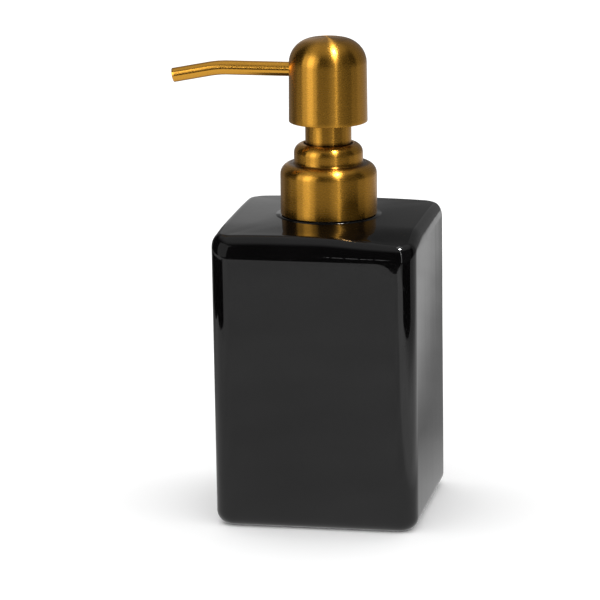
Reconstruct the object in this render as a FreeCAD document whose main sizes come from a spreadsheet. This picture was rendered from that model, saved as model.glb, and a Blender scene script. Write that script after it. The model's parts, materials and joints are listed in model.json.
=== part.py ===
import FreeCAD, Part
import Sketcher
import math
import os
import re

# Countertop soap pump: a square glazed bottle, a two-step metal collar that screws onto a
# threaded plastic neck, and a reciprocating lotion pump under a domed head with a long spout.
# Millimetres. The origin is the centre of the bottle's base, +Z is up, and the spout points
# along -X. The pump is drawn at rest, with its head up.

DIMENSIONS = {
    # ceramic bottle
    "bottle_width": 68.9,
    "bottle_shoulder": 99.6,       # height of the top face at its edges
    "bottle_height": 100.4,        # height of the land round the mouth
    "bottle_corner": 6.6,          # radius of the four upright edges
    "bottle_rim": 5.0,             # radius of the edges round the top and the base
    "crown_foot": 28.0,            # radius where the top face starts to rise to the land
    "crown_land": 18.0,            # radius of the land
    "bottle_wall": 4.0,
    "bottle_floor": 5.0,
    "bottle_roof": 5.6,
    "cavity_rim": 2.0,
    "mouth_radius": 14.6,
    "mouth_rounding": 0.7,
    # gaps and broken edges that several pieces share
    "fit_gap": 0.05,               # between pieces that are assembled for good
    "rest_gap": 0.1,               # between faces that only rest on each other
    "edge_break": 0.8,             # chamfer on moulded ends
    # threaded neck glued into the mouth
    "insert_depth": 13.0,
    "insert_lead": 1.2,            # radial size of the lead-in below the mouth
    "seal_thickness": 0.5,
    "flange_radius": 15.2,
    "flange_thickness": 0.6,
    "flange_edge": 0.25,
    "neck_radius": 12.5,
    "neck_bore": 10.0,
    "neck_lip": 112.2,             # height of the neck's lip
    "thread_crest": 13.6,
    "thread_pitch": 4.23,
    "thread_root_width": 2.0,
    "thread_crest_width": 1.0,
    "thread_start": 104.6,         # height of the neck thread's first turn
    "neck_turns": 1.0,
    "thread_sink": 0.2,            # how far a ridge's root is sunk into its wall
    # closure and collar
    "collar_base": 100.8,
    "collar_radius": 16.1,
    "collar_shoulder": 117.8,
    "collar_rounding": 3.7,
    "step_radius": 11.5,
    "step_top": 124.5,
    "step_rounding": 3.2,
    "step_root": 0.9,              # fillet where the upper step meets the shoulder
    "collar_hole": 8.2,
    "sheet_wall": 0.5,             # thickness of the pressed metal shells
    "closure_bore": 14.0,
    "closure_crest": 12.8,
    "closure_turns": 1.25,
    "closure_lift": 0.9,           # the cap stops this far above the collar's lower edge
    "deck_underside": 114.95,
    "deck_hole": 9.7,
    # pump housing
    "gasket_thickness": 0.9,
    "housing_flange": 12.3,
    "housing_flange_thickness": 1.5,
    "well_radius": 8.1,
    "well_wall": 1.2,
    "well_floor": 109.0,
    "boss_top": 121.2,
    "barrel_bore": 5.6,
    "barrel_wall": 1.4,
    "barrel_top": 106.5,
    "barrel_floor": 67.0,
    "chamber_radius": 3.4,
    "seat_top": 62.5,
    "seat_bottom": 60.0,
    "seat_hole": 1.6,
    "socket_top": 58.5,
    "socket_bottom": 50.0,
    "socket_bore": 2.95,
    "socket_wall": 1.25,
    "vent_radius": 0.6,
    "vent_height": 103.0,
    "funnel_drop": 1.0,            # how far the funnel's outside lies below its inside
    "ring_radius": 10.6,           # lock ring
    "ring_bore": 7.79,
    "ring_top": 123.4,
    # loose pieces inside the barrel
    "ball_radius": 2.4,
    "tube_radius": 2.9,
    "tube_wall": 0.8,
    "tube_bottom": 8.0,
    "tube_slant": 3.0,
    "cage_height": 2.4,
    "cage_boss": 3.4,
    "cage_boss_height": 3.6,
    "cage_slot_width": 1.2,
    "cage_slot_reach": 3.0,
    "cage_slot_depth": 1.6,
    "cage_slots": 4,
    "spring_radius": 4.45,
    "spring_wire": 0.45,
    "spring_turns": 9,
    "poppet_bottom": 95.5,
    "poppet_radius": 4.9,
    "poppet_height": 2.5,
    "poppet_edge": 0.3,
    "port_radius": 0.8,
    "port_rise": 1.5,
    "piston_height": 6.5,
    "piston_radius": 5.53,
    "piston_travel": 1.2,
    "piston_bore_gap": 0.08,
    "lip_height": 0.9,
    "lip_root": 2.4,               # height over which each lip thins into the hub
    "lip_thickness": 0.5,
    "stem_radius": 4.2,
    "stem_neck": 2.5,
    "stem_bore": 1.5,
    "stem_overlap": 6.0,           # length of the valve's neck inside the upper stem
    "stem_passage": 2.2,
    "stem_top": 141.0,
    # head
    "head_base": 131.8,
    "head_skirt": 13.1,
    "head_radius": 12.95,
    "head_top": 160.0,
    "dome_shoulder": 8.3,          # radius of the dome's rounded shoulder
    "dome_crown": 40.0,            # radius of its flatter crown
    "core_base": 137.5,
    "core_radius": 12.3,
    "core_hub": 7.1,
    "core_hub_base": 128.5,
    "core_passage": 1.9,
    "core_side": 12.0,             # heights above the core's base, up its domed top
    "core_slope": 16.5,
    "core_crown": 19.0,
    "core_slope_inset": 2.4,
    "core_crown_inset": 6.3,
    "core_pocket": 1.5,
    "core_pocket_circle": 9.7,
    "core_pocket_depth": 9.0,
    "core_pockets": 8,
    "sleeve_radius": 7.7,
    "sleeve_base": 121.7,
    # spout
    "spout_height": 149.0,
    "spout_radius": 2.4,
    "spout_wall": 0.4,
    "spout_root": 5.1,             # distance of the tube's inner end from the axis
    "spout_reach": 52.4,
    "spout_bend": 37.0,            # distance of the bend's middle from the axis
    "spout_droop": 11.0,           # degrees
    "spout_bend_radius": 34.0,
    "liner_wall": 0.55,
    "liner_setback": 1.2,
    "spout_passage": 1.6,
    "seal_wire": 0.42,
    "seal_seat": 9.0,
    "seal_groove": 0.6,            # half the width of the seal's groove
}

doc = FreeCAD.newDocument("soap_pump")
sheet = doc.addObject("Spreadsheet::Sheet", "dims")
for row, (alias, size) in enumerate(DIMENSIONS.items(), start=1):
    sheet.set("A%d" % row, alias)
    sheet.set("B%d" % row, str(size))
    sheet.setAlias("B%d" % row, alias)
doc.recompute()


def bound(formula):
    """A formula in dimension names, with each name read from the sheet."""
    return re.sub(r"[a-z]+(?:_[a-z]+)+", r"dims.\g<0>", formula)


def size_of(formula):
    """The number that a formula comes to."""
    return float(sheet.evalExpression(bound(formula)))


def sign_of(number):
    return "+" if number >= 0 else "-"


def rounded(corners):
    """Corners (across, up) stay, and (across, up, radius) become the two ends of a fillet.

    An entry (across, up, radius, side) starts an arc that runs to the next corner, with its
    centre on the left (side 1) or right (side -1). Fillets need edges along the axes.
    Returns vertices and, for each, the arc (radius, side) that leaves it, or None.
    """
    places = [(size_of(c[0]), size_of(c[1])) for c in corners]
    vertices = []
    arcs = []
    for i, corner in enumerate(corners):
        across, up = corner[0], corner[1]
        if len(corner) != 3:
            vertices.append((across, up))
            arcs.append(corner[2:] or None)
            continue
        radius = corner[2]
        here = places[i]
        before = places[i - 1]
        after = places[(i + 1) % len(places)]
        ends = []
        for other in (before, after):
            run = other[0] - here[0]
            rise = other[1] - here[1]
            if abs(run) > abs(rise):
                ends.append(("(%s) %s (%s)" % (across, sign_of(run), radius), up))
            else:
                ends.append((across, "(%s) %s (%s)" % (up, sign_of(rise), radius)))
        turn = ((here[0] - before[0]) * (after[1] - here[1])
                - (here[1] - before[1]) * (after[0] - here[0]))
        vertices.extend(ends)
        arcs.extend([(radius, 1 if turn > 0 else -1), None])
    return vertices, arcs


def arc_between(start, end, radius, side):
    """The shorter arc from start to end with its centre on the given side."""
    chord = end - start
    half = chord.Length / 2
    inward = FreeCAD.Vector(-chord.y, chord.x, 0).normalize() * side
    centre = (start + end) * 0.5 + inward * math.sqrt(max(radius * radius - half * half, 0))
    circle = Part.Circle(centre, FreeCAD.Vector(0, 0, 1), radius)
    first, last = (start, end) if side > 0 else (end, start)
    angles = [math.atan2(p.y - centre.y, p.x - centre.x) for p in (first, last)]
    return Part.ArcOfCircle(circle, angles[0], angles[1])


def bind(sketch, kind, places, formula):
    """Adds a constraint whose value follows a formula."""
    number = sketch.addConstraint(Sketcher.Constraint(kind, *places, size_of(formula)))
    sketch.setExpression("Constraints[%d]" % number, bound(formula))


def pin_point(sketch, edge, end, across, up):
    """Holds one point of an edge at the place that two formulas give."""
    for kind, formula, other_axis in (("DistanceX", across, -2), ("DistanceY", up, -1)):
        if abs(size_of(formula)) < 1e-9:
            sketch.addConstraint(Sketcher.Constraint("PointOnObject", edge, end, other_axis))
        else:
            bind(sketch, kind, (edge, end), formula)


def draw(sketch, corners, closed=True):
    """Draws lines and arcs through the corners, all held by constraints."""
    vertices, arcs = rounded(corners)
    places = [FreeCAD.Vector(size_of(across), size_of(up), 0) for across, up in vertices]
    count = len(vertices) if closed else len(vertices) - 1
    ends = []
    for i in range(count):
        start = places[i]
        end = places[(i + 1) % len(places)]
        if arcs[i]:
            radius, side = arcs[i]
            edge = sketch.addGeometry(arc_between(start, end, size_of(radius), side))
            ends.append((edge, 1, 2) if side > 0 else (edge, 2, 1))
            bind(sketch, "Radius", (edge,), radius)
        else:
            edge = sketch.addGeometry(Part.LineSegment(start, end))
            ends.append((edge, 1, 2))
    for i, (edge, first, last) in enumerate(ends):
        pin_point(sketch, edge, first, *vertices[i])
        if closed or i + 1 < count:
            following, joint, _ = ends[(i + 1) % count]
            sketch.addConstraint(Sketcher.Constraint("Coincident", edge, last, following, joint))
    if not closed:
        edge, _, last = ends[-1]
        pin_point(sketch, edge, last, *vertices[-1])


def draw_circle(sketch, across, up, radius):
    centre = FreeCAD.Vector(size_of(across), size_of(up), 0)
    edge = sketch.addGeometry(Part.Circle(centre, FreeCAD.Vector(0, 0, 1), size_of(radius)))
    bind(sketch, "Radius", (edge,), radius)
    pin_point(sketch, edge, 3, across, up)


def new_body(label):
    body = doc.addObject("PartDesign::Body", label)
    body.Label = label
    body.Placement = FreeCAD.Placement()
    return body


def new_sketch(body, name, plane="XZ_Plane", lift=None, shift=None):
    """A sketch on one of the body's own origin planes, lift away from it along its normal."""
    sketch = body.newObject("Sketcher::SketchObject", body.Label + "_" + name)
    base = next(item for item in body.Origin.OriginFeatures if item.Role == plane)
    sketch.AttachmentSupport = [(base, "")]
    sketch.MapMode = "FlatFace"
    if lift:
        sketch.setExpression("AttachmentOffset.Base.z", bound(lift))
    if shift:
        sketch.setExpression("AttachmentOffset.Base.y", bound(shift))
    return sketch


def add_feature(body, kind, name, sketch, **settings):
    feature = body.newObject("PartDesign::" + kind, body.Label + "_" + name)
    feature.Profile = sketch
    for key, setting in settings.items():
        setattr(feature, key, setting)
    return feature


def turned(label, corners):
    """A body turned about Z from an outline of (radius, height) corners."""
    body = new_body(label)
    sketch = new_sketch(body, "outline")
    draw(sketch, corners)
    add_feature(body, "Revolution", "turning", sketch, ReferenceAxis=(sketch, ["V_Axis"]), Angle=360)
    doc.recompute()
    return body


def washer(label, inner, outer, base, thickness):
    top = "%s + %s" % (base, thickness)
    return turned(label, [(inner, base), (outer, base), (outer, top), (inner, top)])


def drilled(body, name, plane, circles, length=None, lift=None, upward=False, midplane=False):
    """Cuts round holes; through all where no length is given. Checks that metal came off."""
    sketch = new_sketch(body, name + "_sketch", plane, lift)
    for across, up, radius in circles:
        draw_circle(sketch, across, up, radius)
    volume = body.Shape.Volume
    pocket = add_feature(body, "Pocket", name, sketch, Reversed=upward)
    if length:
        pocket.Type = "Length"
        pocket.setExpression("Length", bound(length))
    else:
        pocket.Type = "ThroughAll"
    if midplane:
        pocket.SideType = "Symmetric"
    doc.recompute()
    if body.Shape.Volume >= volume:
        raise RuntimeError(name + " cut nothing")
    return pocket


def repeat_round(body, name, cut, sketch, count):
    """Repeats a cut round Z, and checks that each copy took something off."""
    volume = body.Shape.Volume
    pattern = body.newObject("PartDesign::PolarPattern", body.Label + "_" + name)
    pattern.Originals = [cut]
    pattern.Axis = (sketch, ["N_Axis"])
    pattern.Angle = 360
    pattern.setExpression("Occurrences", bound(count))
    body.Tip = pattern
    doc.recompute()
    if body.Shape.Volume >= volume:
        raise RuntimeError(name + " cut nothing")


def round_edges(body, name, chosen, radius):
    """Rounds the edges of the body's tip that chosen(edge) picks."""
    tip = body.Tip
    names = ["Edge%d" % i for i, edge in enumerate(tip.Shape.Edges, start=1) if chosen(edge)]
    fillet = body.newObject("PartDesign::Fillet", body.Label + "_" + name)
    fillet.Base = (tip, names)
    fillet.setExpression("Radius", bound(radius))
    doc.recompute()
    return fillet


def lies_at(height_formula, reach_formula="1000"):
    """Picks edges that lie wholly at one height, and no further out than a reach."""
    height = size_of(height_formula)
    reach = size_of(reach_formula)

    def chosen(edge):
        box = edge.BoundBox
        level = abs(box.ZMin - height) < 1e-4 and abs(box.ZMax - height) < 1e-4
        return level and box.XMax < reach and box.XMin > -reach
    return chosen


def add_thread(body, root, crest, start, turns):
    """One helical ridge, from the root radius to the crest radius, sunk a little into its wall."""
    away = "+" if size_of(crest) < size_of(root) else "-"
    sketch = new_sketch(body, "thread_outline")
    inner = "%s %s thread_sink" % (root, away)
    draw(sketch, [
        (inner, "%s - thread_root_width / 2" % start),
        (crest, "%s - thread_crest_width / 2" % start),
        (crest, "%s + thread_crest_width / 2" % start),
        (inner, "%s + thread_root_width / 2" % start),
    ])
    helix = add_feature(body, "AdditiveHelix", "thread", sketch,
                        ReferenceAxis=(sketch, ["V_Axis"]), Mode="pitch-turns-angle")
    helix.setExpression("Pitch", bound("thread_pitch"))
    helix.setExpression("Turns", bound(turns))
    doc.recompute()


# ---- bottle ---------------------------------------------------------------------------------

def square(half, corner):
    """A square outline with rounded corners, about the origin."""
    return [("-(%s)" % half, "-(%s)" % half, corner), (half, "-(%s)" % half, corner),
            (half, half, corner), ("-(%s)" % half, half, corner)]


def make_bottle_body():
    body = new_body("bottle_body")
    outside = new_sketch(body, "outside", "XY_Plane")
    draw(outside, square("bottle_width / 2", "bottle_corner"))
    pad = add_feature(body, "Pad", "block", outside)
    pad.setExpression("Length", bound("bottle_shoulder"))
    doc.recompute()
    at_base = lies_at("0")
    at_top = lies_at("bottle_shoulder")
    round_edges(body, "rim", lambda edge: at_base(edge) or at_top(edge), "bottle_rim")
    # the top face rises a little to the land that the collar stands over
    crown = new_sketch(body, "crown_outline")
    draw(crown, [("0", "bottle_shoulder - bottle_rim / 2"),
                 ("crown_foot", "bottle_shoulder - bottle_rim / 2"),
                 ("crown_foot", "bottle_shoulder"),
                 ("crown_land", "bottle_height"),
                 ("0", "bottle_height")])
    add_feature(body, "Revolution", "crown", crown, ReferenceAxis=(crown, ["V_Axis"]), Angle=360)
    doc.recompute()
    cavity = new_sketch(body, "cavity_outline", "XY_Plane", lift="bottle_floor")
    draw(cavity, square("bottle_width / 2 - bottle_wall", "bottle_corner - bottle_wall"))
    pocket = add_feature(body, "Pocket", "cavity", cavity, Type="Length", Reversed=True)
    ceiling = "bottle_height - bottle_roof"
    pocket.setExpression("Length", bound(ceiling + " - bottle_floor"))
    doc.recompute()
    at_floor = lies_at("bottle_floor")
    at_ceiling = lies_at(ceiling)
    round_edges(body, "cavity_rim", lambda edge: at_floor(edge) or at_ceiling(edge), "cavity_rim")
    drilled(body, "mouth", "XY_Plane", [("0", "0", "mouth_radius")],
            length="bottle_roof + 1", lift="bottle_height")
    round_edges(body, "mouth_edge", lies_at("bottle_height", "mouth_radius + 1"), "mouth_rounding")
    return body


def make_neck_insert():
    spigot = "mouth_radius - rest_gap"
    base = "bottle_height - insert_depth"
    flange_base = "bottle_height + seal_thickness"
    flange_top = flange_base + " + flange_thickness"
    body = turned("neck_insert", [
        ("neck_bore", base),
        (spigot + " - insert_lead", base),
        (spigot, base + " + 2 * insert_lead"),
        (spigot, flange_base),
        ("flange_radius", flange_base),
        ("flange_radius", flange_top, "flange_edge"),
        ("neck_radius", flange_top),
        ("neck_radius", "neck_lip"),
        ("neck_bore", "neck_lip"),
    ])
    add_thread(body, "neck_radius", "thread_crest", "thread_start", "neck_turns")
    return body


def make_insert_seal():
    inner = "mouth_radius + rest_gap"
    outer = "flange_radius - 2 * rest_gap"
    return washer("insert_seal", inner, outer, "bottle_height", "seal_thickness")


# ---- closure --------------------------------------------------------------------------------

def make_collar_shell():
    inner_rounding = "collar_rounding - sheet_wall"
    inner_step_rounding = "step_rounding - sheet_wall"
    return turned("collar_shell", [
        ("collar_radius - sheet_wall", "collar_base"),
        ("collar_radius", "collar_base"),
        ("collar_radius", "collar_shoulder", "collar_rounding"),
        ("step_radius", "collar_shoulder", "step_root"),
        ("step_radius", "step_top", "step_rounding"),
        ("collar_hole", "step_top"),
        ("collar_hole", "step_top - sheet_wall"),
        ("step_radius - sheet_wall", "step_top - sheet_wall", inner_step_rounding),
        ("step_radius - sheet_wall", "collar_shoulder - sheet_wall"),
        ("collar_radius - sheet_wall", "collar_shoulder - sheet_wall", inner_rounding),
    ])


def make_threaded_closure():
    outer = "collar_radius - sheet_wall - fit_gap"
    top = "collar_shoulder - sheet_wall - fit_gap"
    body = turned("threaded_closure", [
        ("closure_bore", "collar_base + closure_lift"),
        (outer, "collar_base + closure_lift"),
        (outer, top, "collar_rounding - sheet_wall + fit_gap"),
        ("deck_hole", top),
        ("deck_hole", "deck_underside"),
        ("closure_bore", "deck_underside"),
    ])
    # the closure's ridge runs half a pitch below the neck's, with equal gaps each side
    add_thread(body, "closure_bore", "closure_crest", "thread_start - thread_pitch / 2",
               "closure_turns")
    return body


# ---- pump housing ---------------------------------------------------------------------------

def make_pump_housing():
    flange_base = "neck_lip + rest_gap + gasket_thickness + fit_gap"
    flange_top = flange_base + " + housing_flange_thickness"
    well_outer = "well_radius + well_wall"
    barrel_outer = "barrel_bore + barrel_wall"
    socket_outer = "socket_bore + socket_wall"
    body = turned("pump_housing", [
        ("well_radius", "boss_top"),
        ("well_radius", "well_floor"),
        ("barrel_bore", "barrel_top"),
        ("barrel_bore", "barrel_floor"),
        ("chamber_radius", "barrel_floor"),
        ("chamber_radius", "seat_top"),
        ("seat_hole", "seat_bottom"),
        ("seat_hole", "socket_top"),
        ("socket_bore", "socket_top"),
        ("socket_bore", "socket_bottom"),
        (socket_outer, "socket_bottom"),
        (socket_outer, "seat_bottom"),
        ("chamber_radius + barrel_wall", "seat_top"),
        (barrel_outer, "barrel_floor"),
        (barrel_outer, "barrel_top - funnel_drop"),
        (well_outer, "well_floor - funnel_drop"),
        (well_outer, flange_base),
        ("housing_flange", flange_base),
        ("housing_flange", flange_top),
        (well_outer, flange_top),
        (well_outer, "boss_top"),
    ])
    drilled(body, "vent", "YZ_Plane", [("0", "vent_height", "vent_radius")])
    return body


def make_housing_gasket():
    inner = "neck_bore + 2 * rest_gap"
    outer = "housing_flange - rest_gap"
    return washer("housing_gasket", inner, outer, "neck_lip + rest_gap", "gasket_thickness")


def make_lock_ring():
    boss = "well_radius + well_wall + fit_gap"
    base = "collar_shoulder"
    return turned("lock_ring", [
        (boss, base),
        ("ring_radius", base),
        ("ring_radius", "ring_top", "step_rounding - sheet_wall"),
        ("ring_bore", "ring_top"),
        ("ring_bore", "boss_top + fit_gap"),
        (boss, "boss_top + fit_gap"),
    ])


def make_dip_tube():
    body = turned("dip_tube", [
        ("tube_radius - tube_wall", "tube_bottom"),
        ("tube_radius", "tube_bottom"),
        ("tube_radius", "socket_top - rest_gap"),
        ("tube_radius - tube_wall", "socket_top - rest_gap"),
    ])
    # the lower end is cut on a slant, so that it can't seal against the floor
    sketch = new_sketch(body, "slant")
    draw(sketch, [
        ("-tube_radius - 1", "tube_bottom - 1"),
        ("tube_radius + 1", "tube_bottom - 1"),
        ("tube_radius + 1", "tube_bottom + tube_slant"),
    ])
    volume = body.Shape.Volume
    add_feature(body, "Pocket", "slanted_end", sketch, Type="ThroughAll", SideType="Symmetric")
    doc.recompute()
    if body.Shape.Volume >= volume:
        raise RuntimeError("the dip tube's slanted end cut nothing")
    return body


def make_inlet_ball():
    """A steel ball that rests in the conical seat."""
    run = "(chamber_radius - seat_hole)"
    rise = "(seat_top - seat_bottom)"
    slant = "sqrt(%s ^ 2 + %s ^ 2)" % (run, rise)
    centre = "seat_bottom + ((ball_radius + fit_gap) * %s - seat_hole * %s) / %s" % (slant, rise, run)
    ball = doc.addObject("Part::Sphere", "inlet_ball")
    ball.Label = "inlet_ball"
    ball.setExpression("Radius", bound("ball_radius"))
    ball.setExpression("Placement.Base.z", bound(centre))
    return ball


def make_ball_cage():
    """The ring over the ball, which carries the spring. Slots let soap past the lifted ball."""
    base = "barrel_floor + fit_gap"
    rim_top = base + " + cage_height"
    boss_top = rim_top + " + cage_boss_height"
    body = turned("ball_cage", [
        ("seat_hole", base),
        ("barrel_bore - fit_gap", base),
        ("barrel_bore - fit_gap", rim_top),
        ("cage_boss", rim_top),
        ("cage_boss", boss_top + " - edge_break"),
        ("cage_boss - edge_break", boss_top),
        ("seat_hole", boss_top),
    ])
    sketch = new_sketch(body, "slot_outline", "XY_Plane", lift=base)
    draw(sketch, [
        ("0", "-(cage_slot_width / 2)"),
        ("cage_slot_reach", "-(cage_slot_width / 2)"),
        ("cage_slot_reach", "cage_slot_width / 2"),
        ("0", "cage_slot_width / 2"),
    ])
    slot = add_feature(body, "Pocket", "slot", sketch, Type="Length", Reversed=True)
    slot.setExpression("Length", bound("cage_slot_depth"))
    doc.recompute()
    repeat_round(body, "slots", slot, sketch, "cage_slots")
    return body


def make_return_spring():
    """A round wire coil from the cage up to the underside of the stem's valve."""
    body = new_body("return_spring")
    first = "barrel_floor + cage_height + 2 * fit_gap + spring_wire"
    last = "poppet_bottom - fit_gap - spring_wire"
    wire = new_sketch(body, "wire")
    draw_circle(wire, "spring_radius", first, "spring_wire")
    coil = add_feature(body, "AdditiveHelix", "coil", wire,
                       ReferenceAxis=(wire, ["V_Axis"]), Mode="height-turns-angle")
    coil.setExpression("Height", bound("%s - (%s)" % (last, first)))
    coil.setExpression("Turns", bound("spring_turns"))
    doc.recompute()
    return body


# ---- stem and piston ------------------------------------------------------------------------

PISTON_BASE = "poppet_bottom + poppet_height + rest_gap"
UPPER_STEM_BASE = PISTON_BASE + " + piston_height + piston_travel + 2 * rest_gap"


def make_stem_lower():
    """The valve end of the stem: a head that the spring pushes on, and a ported neck."""
    head_top = "poppet_bottom + poppet_height"
    neck_top = UPPER_STEM_BASE + " + stem_overlap"
    body = turned("stem_lower", [
        ("0", "poppet_bottom"),
        ("poppet_radius", "poppet_bottom", "poppet_edge"),
        ("poppet_radius", head_top + " - edge_break"),
        ("poppet_radius - edge_break", head_top),
        ("stem_neck", head_top),
        ("stem_neck", neck_top),
        ("stem_bore", neck_top),
        ("stem_bore", head_top + " - edge_break"),
        ("0", head_top + " - edge_break"),
    ])
    drilled(body, "ports", "YZ_Plane", [("0", head_top + " + port_rise", "port_radius")],
            midplane=True)
    return body


def make_piston_seal():
    """A hub with two thin lips that flare out to the barrel's wall."""
    base = PISTON_BASE
    top = base + " + piston_height"
    cup = top + " - lip_root + lip_thickness"
    bore = "stem_neck + piston_bore_gap"
    return turned("piston_seal", [
        (bore, base),
        ("stem_radius", base),
        ("piston_radius", base + " + 2 * rest_gap"),
        ("piston_radius", base + " + lip_height"),
        ("stem_radius", base + " + lip_root"),
        ("stem_radius", top + " - lip_root"),
        ("piston_radius", top + " - lip_height"),
        ("piston_radius", top),
        ("piston_radius - lip_thickness", top),
        ("stem_radius - lip_thickness", cup),
        (bore, cup),
    ])


def make_stem_upper():
    """The tube that joins the valve to the head."""
    base = UPPER_STEM_BASE
    socket = "stem_neck + fit_gap"
    socket_top = base + " + stem_overlap + rest_gap"
    return turned("stem_upper", [
        (socket, base),
        ("stem_radius - edge_break", base),
        ("stem_radius", base + " + edge_break"),
        ("stem_radius", "stem_top - edge_break"),
        ("stem_radius - edge_break", "stem_top"),
        ("stem_passage", "stem_top"),
        ("stem_passage", socket_top),
        (socket, socket_top),
    ])


# ---- head -----------------------------------------------------------------------------------

def dome(wall):
    """Corners of the dome from its top to its shoulder's foot, wall inside the surface.

    Two tangent arcs: a flat crown centred on the axis, and a tighter shoulder that meets the
    upright side.
    """
    crown_centre = "(head_top - dome_crown)"
    gap = "(dome_crown - dome_shoulder)"
    centre_radius = "(head_radius - dome_shoulder)"
    rise = "sqrt(%s ^ 2 - %s ^ 2)" % (gap, centre_radius)
    shoulder_height = "%s + %s" % (crown_centre, rise)
    crown = "(dome_crown - %s)" % wall
    join = ("%s * %s / %s" % (centre_radius, crown, gap),
            "%s + %s * %s / %s" % (crown_centre, rise, crown, gap))
    return [
        ("0", "head_top - %s" % wall, crown, -1),
        (join[0], join[1], "(dome_shoulder - %s)" % wall, -1),
        ("head_radius - %s" % wall, shoulder_height),
    ]


def make_head_shell():
    outside = dome("0")
    inside = dome("sheet_wall")
    inside_back = [
        inside[2] + ("(dome_shoulder - sheet_wall)", 1),
        inside[1][:2] + ("(dome_crown - sheet_wall)", 1),
        inside[0][:2],
    ]
    skirt = [
        ("head_skirt", "head_base"),
        ("head_skirt - sheet_wall", "head_base"),
    ]
    body = turned("head_shell", outside + skirt + inside_back)
    sketch = new_sketch(body, "spout_hole_sketch", "YZ_Plane")
    draw_circle(sketch, "0", "spout_height", "spout_radius + fit_gap")
    volume = body.Shape.Volume
    hole = add_feature(body, "Pocket", "spout_hole", sketch, Type="Length")
    hole.setExpression("Length", bound("head_skirt + 1"))
    doc.recompute()
    if body.Shape.Volume >= volume or body.Shape.BoundBox.XMin > -size_of("head_radius") + 1:
        raise RuntimeError("the spout hole is on the wrong side")
    return body


def make_head_core():
    """The moulded block that carries the stem, the sleeve and the spout."""
    socket = "stem_radius + fit_gap"
    socket_top = "stem_top + rest_gap"
    body = turned("head_core", [
        (socket, "core_hub_base"),
        ("core_hub - edge_break", "core_hub_base"),
        ("core_hub", "core_hub_base + edge_break"),
        ("core_hub", "core_base"),
        ("core_radius", "core_base"),
        ("core_radius", "core_base + core_side"),
        ("core_radius - core_slope_inset", "core_base + core_slope"),
        ("core_radius - core_crown_inset", "core_base + core_crown"),
        ("0", "core_base + core_crown"),
        ("0", "spout_height"),
        ("core_passage", "spout_height"),
        ("core_passage", socket_top),
        (socket, socket_top),
    ])
    # the spout's socket, with a groove for its seal, about the spout's own axis
    sketch = new_sketch(body, "spout_socket_outline", shift="spout_height")
    bore = "spout_radius + fit_gap"
    groove = "spout_radius + 2 * seal_wire + rest_gap"
    draw(sketch, [
        ("0", "0"),
        ("0", "spout_passage"),
        ("-(spout_root - fit_gap)", "spout_passage"),
        ("-(spout_root - fit_gap)", bore),
        ("-(seal_seat - seal_groove)", bore),
        ("-(seal_seat - seal_groove)", groove),
        ("-(seal_seat + seal_groove)", groove),
        ("-(seal_seat + seal_groove)", bore),
        ("-(core_radius + 1)", bore),
        ("-(core_radius + 1)", "0"),
    ])
    volume = body.Shape.Volume
    add_feature(body, "Groove", "spout_socket", sketch,
                ReferenceAxis=(sketch, ["H_Axis"]), Angle=360)
    doc.recompute()
    if body.Shape.Volume >= volume:
        raise RuntimeError("the spout's socket cut nothing")
    pocket = drilled(body, "lightening", "XY_Plane", [("0", "core_pocket_circle", "core_pocket")],
                     length="core_pocket_depth", lift="core_base", upward=True)
    repeat_round(body, "pockets", pocket, pocket.Profile[0], "core_pockets")
    return body


def make_neck_sleeve():
    return turned("neck_sleeve", [
        ("core_hub + fit_gap", "sleeve_base"),
        ("sleeve_radius", "sleeve_base"),
        ("sleeve_radius", "core_base - fit_gap"),
        ("core_hub + fit_gap", "core_base - fit_gap"),
    ])


def spout_path(body, start, end):
    """The spout's centre line: a level run, a gentle bend, and a drooping end."""
    tangent = "spout_bend_radius * tan(spout_droop * 1 deg / 2)"
    across = "cos(spout_droop * 1 deg)"
    down = "sin(spout_droop * 1 deg)"
    sketch = new_sketch(body, "path", shift="spout_height")
    draw(sketch, [
        ("-(%s)" % start, "0"),
        ("-(spout_bend - %s)" % tangent, "0", "spout_bend_radius", 1),
        ("-(spout_bend + %s * %s)" % (tangent, across), "-(%s * %s)" % (tangent, down)),
        ("-(%s)" % end, "-((%s - spout_bend) * tan(spout_droop * 1 deg))" % end),
    ], closed=False)
    return sketch


def make_pipe(label, outer, inner, start, end):
    body = new_body(label)
    path = spout_path(body, start, end)
    section = new_sketch(body, "section", "YZ_Plane", lift="-(%s)" % start)
    draw_circle(section, "0", "spout_height", outer)
    draw_circle(section, "0", "spout_height", inner)
    pipe = add_feature(body, "AdditivePipe", "tube", section)
    pipe.Spine = (path, ["Edge1", "Edge2", "Edge3"])
    doc.recompute()
    return body


def make_spout_tube():
    return make_pipe("spout_tube", "spout_radius", "spout_radius - spout_wall",
                     "spout_root", "spout_reach")


def make_spout_liner():
    outer = "spout_radius - spout_wall - fit_gap"
    return make_pipe("spout_liner", outer, outer + " - liner_wall",
                     "spout_root", "spout_reach - liner_setback")


def make_spout_seal():
    """A rubber ring round the spout, inside the head."""
    body = new_body("spout_seal")
    sketch = new_sketch(body, "outline", shift="spout_height")
    draw_circle(sketch, "-(seal_seat)", "spout_radius + seal_wire + fit_gap", "seal_wire")
    add_feature(body, "Revolution", "turning", sketch, ReferenceAxis=(sketch, ["H_Axis"]), Angle=360)
    doc.recompute()
    return body


parts = [
    make_bottle_body(),
    make_neck_insert(),
    make_insert_seal(),
    make_collar_shell(),
    make_threaded_closure(),
    make_pump_housing(),
    make_housing_gasket(),
    make_lock_ring(),
    make_dip_tube(),
    make_inlet_ball(),
    make_ball_cage(),
    make_return_spring(),
    make_stem_lower(),
    make_piston_seal(),
    make_stem_upper(),
    make_head_core(),
    make_head_shell(),
    make_neck_sleeve(),
    make_spout_tube(),
    make_spout_liner(),
    make_spout_seal(),
]

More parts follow.
